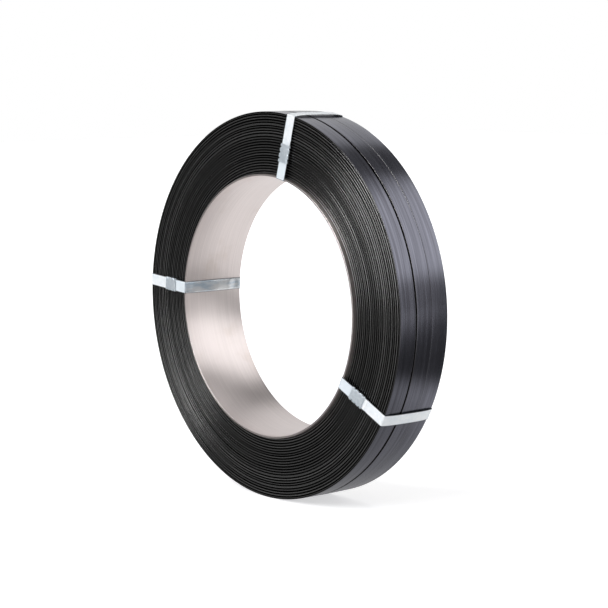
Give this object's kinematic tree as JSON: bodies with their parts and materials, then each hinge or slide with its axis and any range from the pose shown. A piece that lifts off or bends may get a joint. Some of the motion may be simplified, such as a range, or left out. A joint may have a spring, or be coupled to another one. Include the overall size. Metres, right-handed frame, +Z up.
{
  "type": "steel strapping coil",
  "caption": "Coil of black steel strapping standing on its rim, with a bright steel sleeve in its bore and bright tie straps round its section, closed by crimped seals.",
  "frame": {"origin": "centre of the bore, midway through the winding's width", "axes": "+Y along the bore from the front end, which carries the seals, to the back end; +Z up as the coil stands on its rim; +X to the right as seen from the front"},
  "size_m": [0.6047, 0.1152, 0.604],
  "materials": {
    "strapping": "black painted and waxed steel strap, satin",
    "sleeve": "bare bright rolled steel, brushed round the bore",
    "tie_strap": "zinc-coated steel strap, bright satin",
    "seal": "zinc-coated sheet, dull blue-grey"
  },
  "bodies": {
    "root": {"strap_coil": "strapping", "bore_sleeve": "sleeve", "tie_strap_top": "tie_strap", "tie_strap_left": "tie_strap", "tie_strap_right": "tie_strap", "seal_top": "seal", "seal_left": "seal", "seal_right": "seal"}
  },
  "joints": []
}
